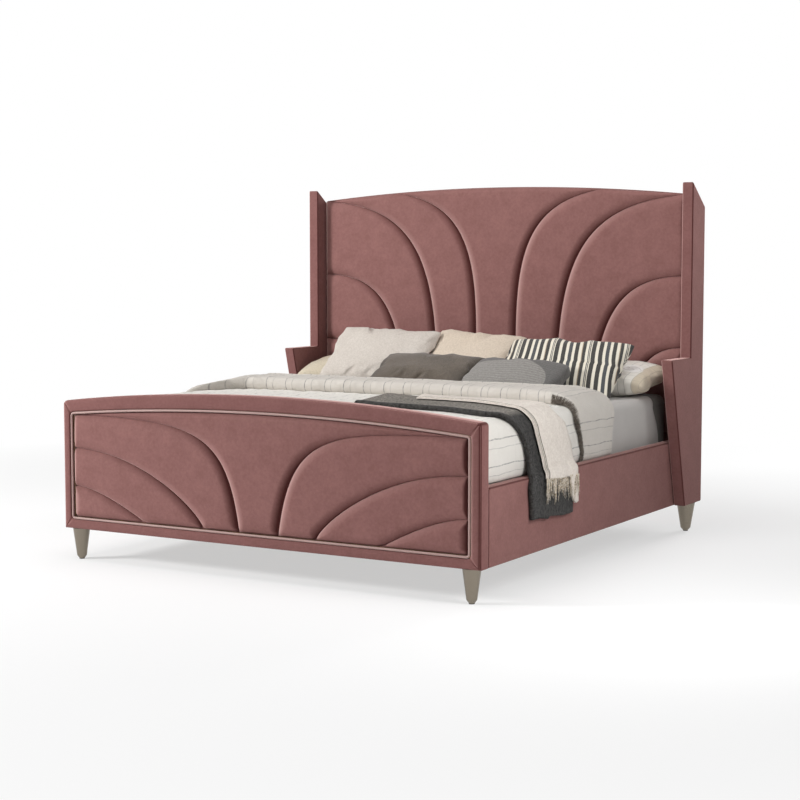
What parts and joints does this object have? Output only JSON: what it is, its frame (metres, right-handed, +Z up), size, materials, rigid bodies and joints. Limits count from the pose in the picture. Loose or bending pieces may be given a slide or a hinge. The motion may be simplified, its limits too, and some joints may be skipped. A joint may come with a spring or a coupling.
{
  "type": "king size bed",
  "caption": "Upholstered bed with a winged headboard and a footboard in fan shaped channel pads, tapered metal legs, a slatted base, a mattress and layered bedding.",
  "frame": {"origin": "on the floor under the middle of the bed's outer box", "axes": "+X across the bed to its right as seen from the foot, +Y toward the headboard, +Z up"},
  "size_m": [2.2, 2.236, 1.698],
  "materials": {
    "velvet": "short pile velvet, soft sheen",
    "piping": "satin piping",
    "timber": "planed softwood",
    "plywood": "sanded birch plywood",
    "steel": "zinc plated",
    "nickel": "brushed nickel",
    "black_plastic": "matte",
    "ticking": "quilted knit",
    "sheet": "plain cotton",
    "duvet": "cotton with fine grey lines",
    "grey_wool": "felted wool",
    "cream_wool": "soft wool with a fringe",
    "ivory_cotton": "crumpled cotton",
    "cream_cotton": "cotton",
    "beige_linen": "linen",
    "taupe_satin": "satin weave",
    "light_grey_cotton": "cotton",
    "striped_cotton": "woven stripes",
    "check_cotton": "fine woven check"
  },
  "bodies": {
    "bed": {"headboard_posts": "timber", "headboard_cross_rails": "timber", "headboard_top_rail": "timber", "headboard_plywood": "plywood", "headboard_cover": "velvet", "headboard_pad_centre": "velvet", "headboard_pad_left_1": "velvet", "headboard_pad_left_2": "velvet", "headboard_pad_left_3": "velvet", "headboard_pad_left_4": "velvet", "headboard_pad_right_1": "velvet", "headboard_pad_right_2": "velvet", "headboard_pad_right_3": "velvet", "headboard_pad_right_4": "velvet", "left_wing_core": "timber", "left_wing_cover": "velvet", "right_wing_core": "timber", "right_wing_cover": "velvet", "wing_bolts": "steel", "footboard_core": "timber", "footboard_cover": "velvet", "footboard_piping": "piping", "footboard_pad_centre": "velvet", "footboard_pad_left_1": "velvet", "footboard_pad_left_2": "velvet", "footboard_pad_left_3": "velvet", "footboard_pad_right_1": "velvet", "footboard_pad_right_2": "velvet", "footboard_pad_right_3": "velvet", "left_rail_board": "timber", "left_rail_cover": "velvet", "right_rail_board": "timber", "right_rail_cover": "velvet", "slat_ledgers": "timber", "corner_brackets": "steel", "bracket_bolts": "steel", "centre_beam": "timber", "beam_hangers": "steel", "slats": "plywood", "slat_screws": "steel", "centre_legs": "black_plastic", "front_legs": "nickel", "rear_legs": "nickel", "leg_bolts": "steel", "leg_foot_pads": "black_plastic", "mattress": "ticking", "fitted_sheet": "sheet", "duvet": "duvet", "grey_throw": "grey_wool", "cream_throw": "cream_wool", "ivory_pillow": "ivory_cotton", "cream_pillow": "cream_cotton", "beige_pillow": "beige_linen", "dark_grey_pillow": "taupe_satin", "light_grey_pillow": "light_grey_cotton", "striped_pillow": "striped_cotton", "check_pillow": "check_cotton"},
    "foot_glide_screw": {"foot_glide": "black_plastic"},
    "middle_glide_screw": {"middle_glide": "black_plastic"},
    "head_glide_screw": {"head_glide": "black_plastic"}
  },
  "joints": [
    {"name": "foot_glide_travel", "type": "slide", "parent": "bed", "child": "foot_glide_screw", "axis": [0, 0, 1], "range_m": [0, 0.012]},
    {"name": "middle_glide_travel", "type": "slide", "parent": "bed", "child": "middle_glide_screw", "axis": [0, 0, 1], "range_m": [0, 0.012]},
    {"name": "head_glide_travel", "type": "slide", "parent": "bed", "child": "head_glide_screw", "axis": [0, 0, 1], "range_m": [0, 0.012]}
  ]
}
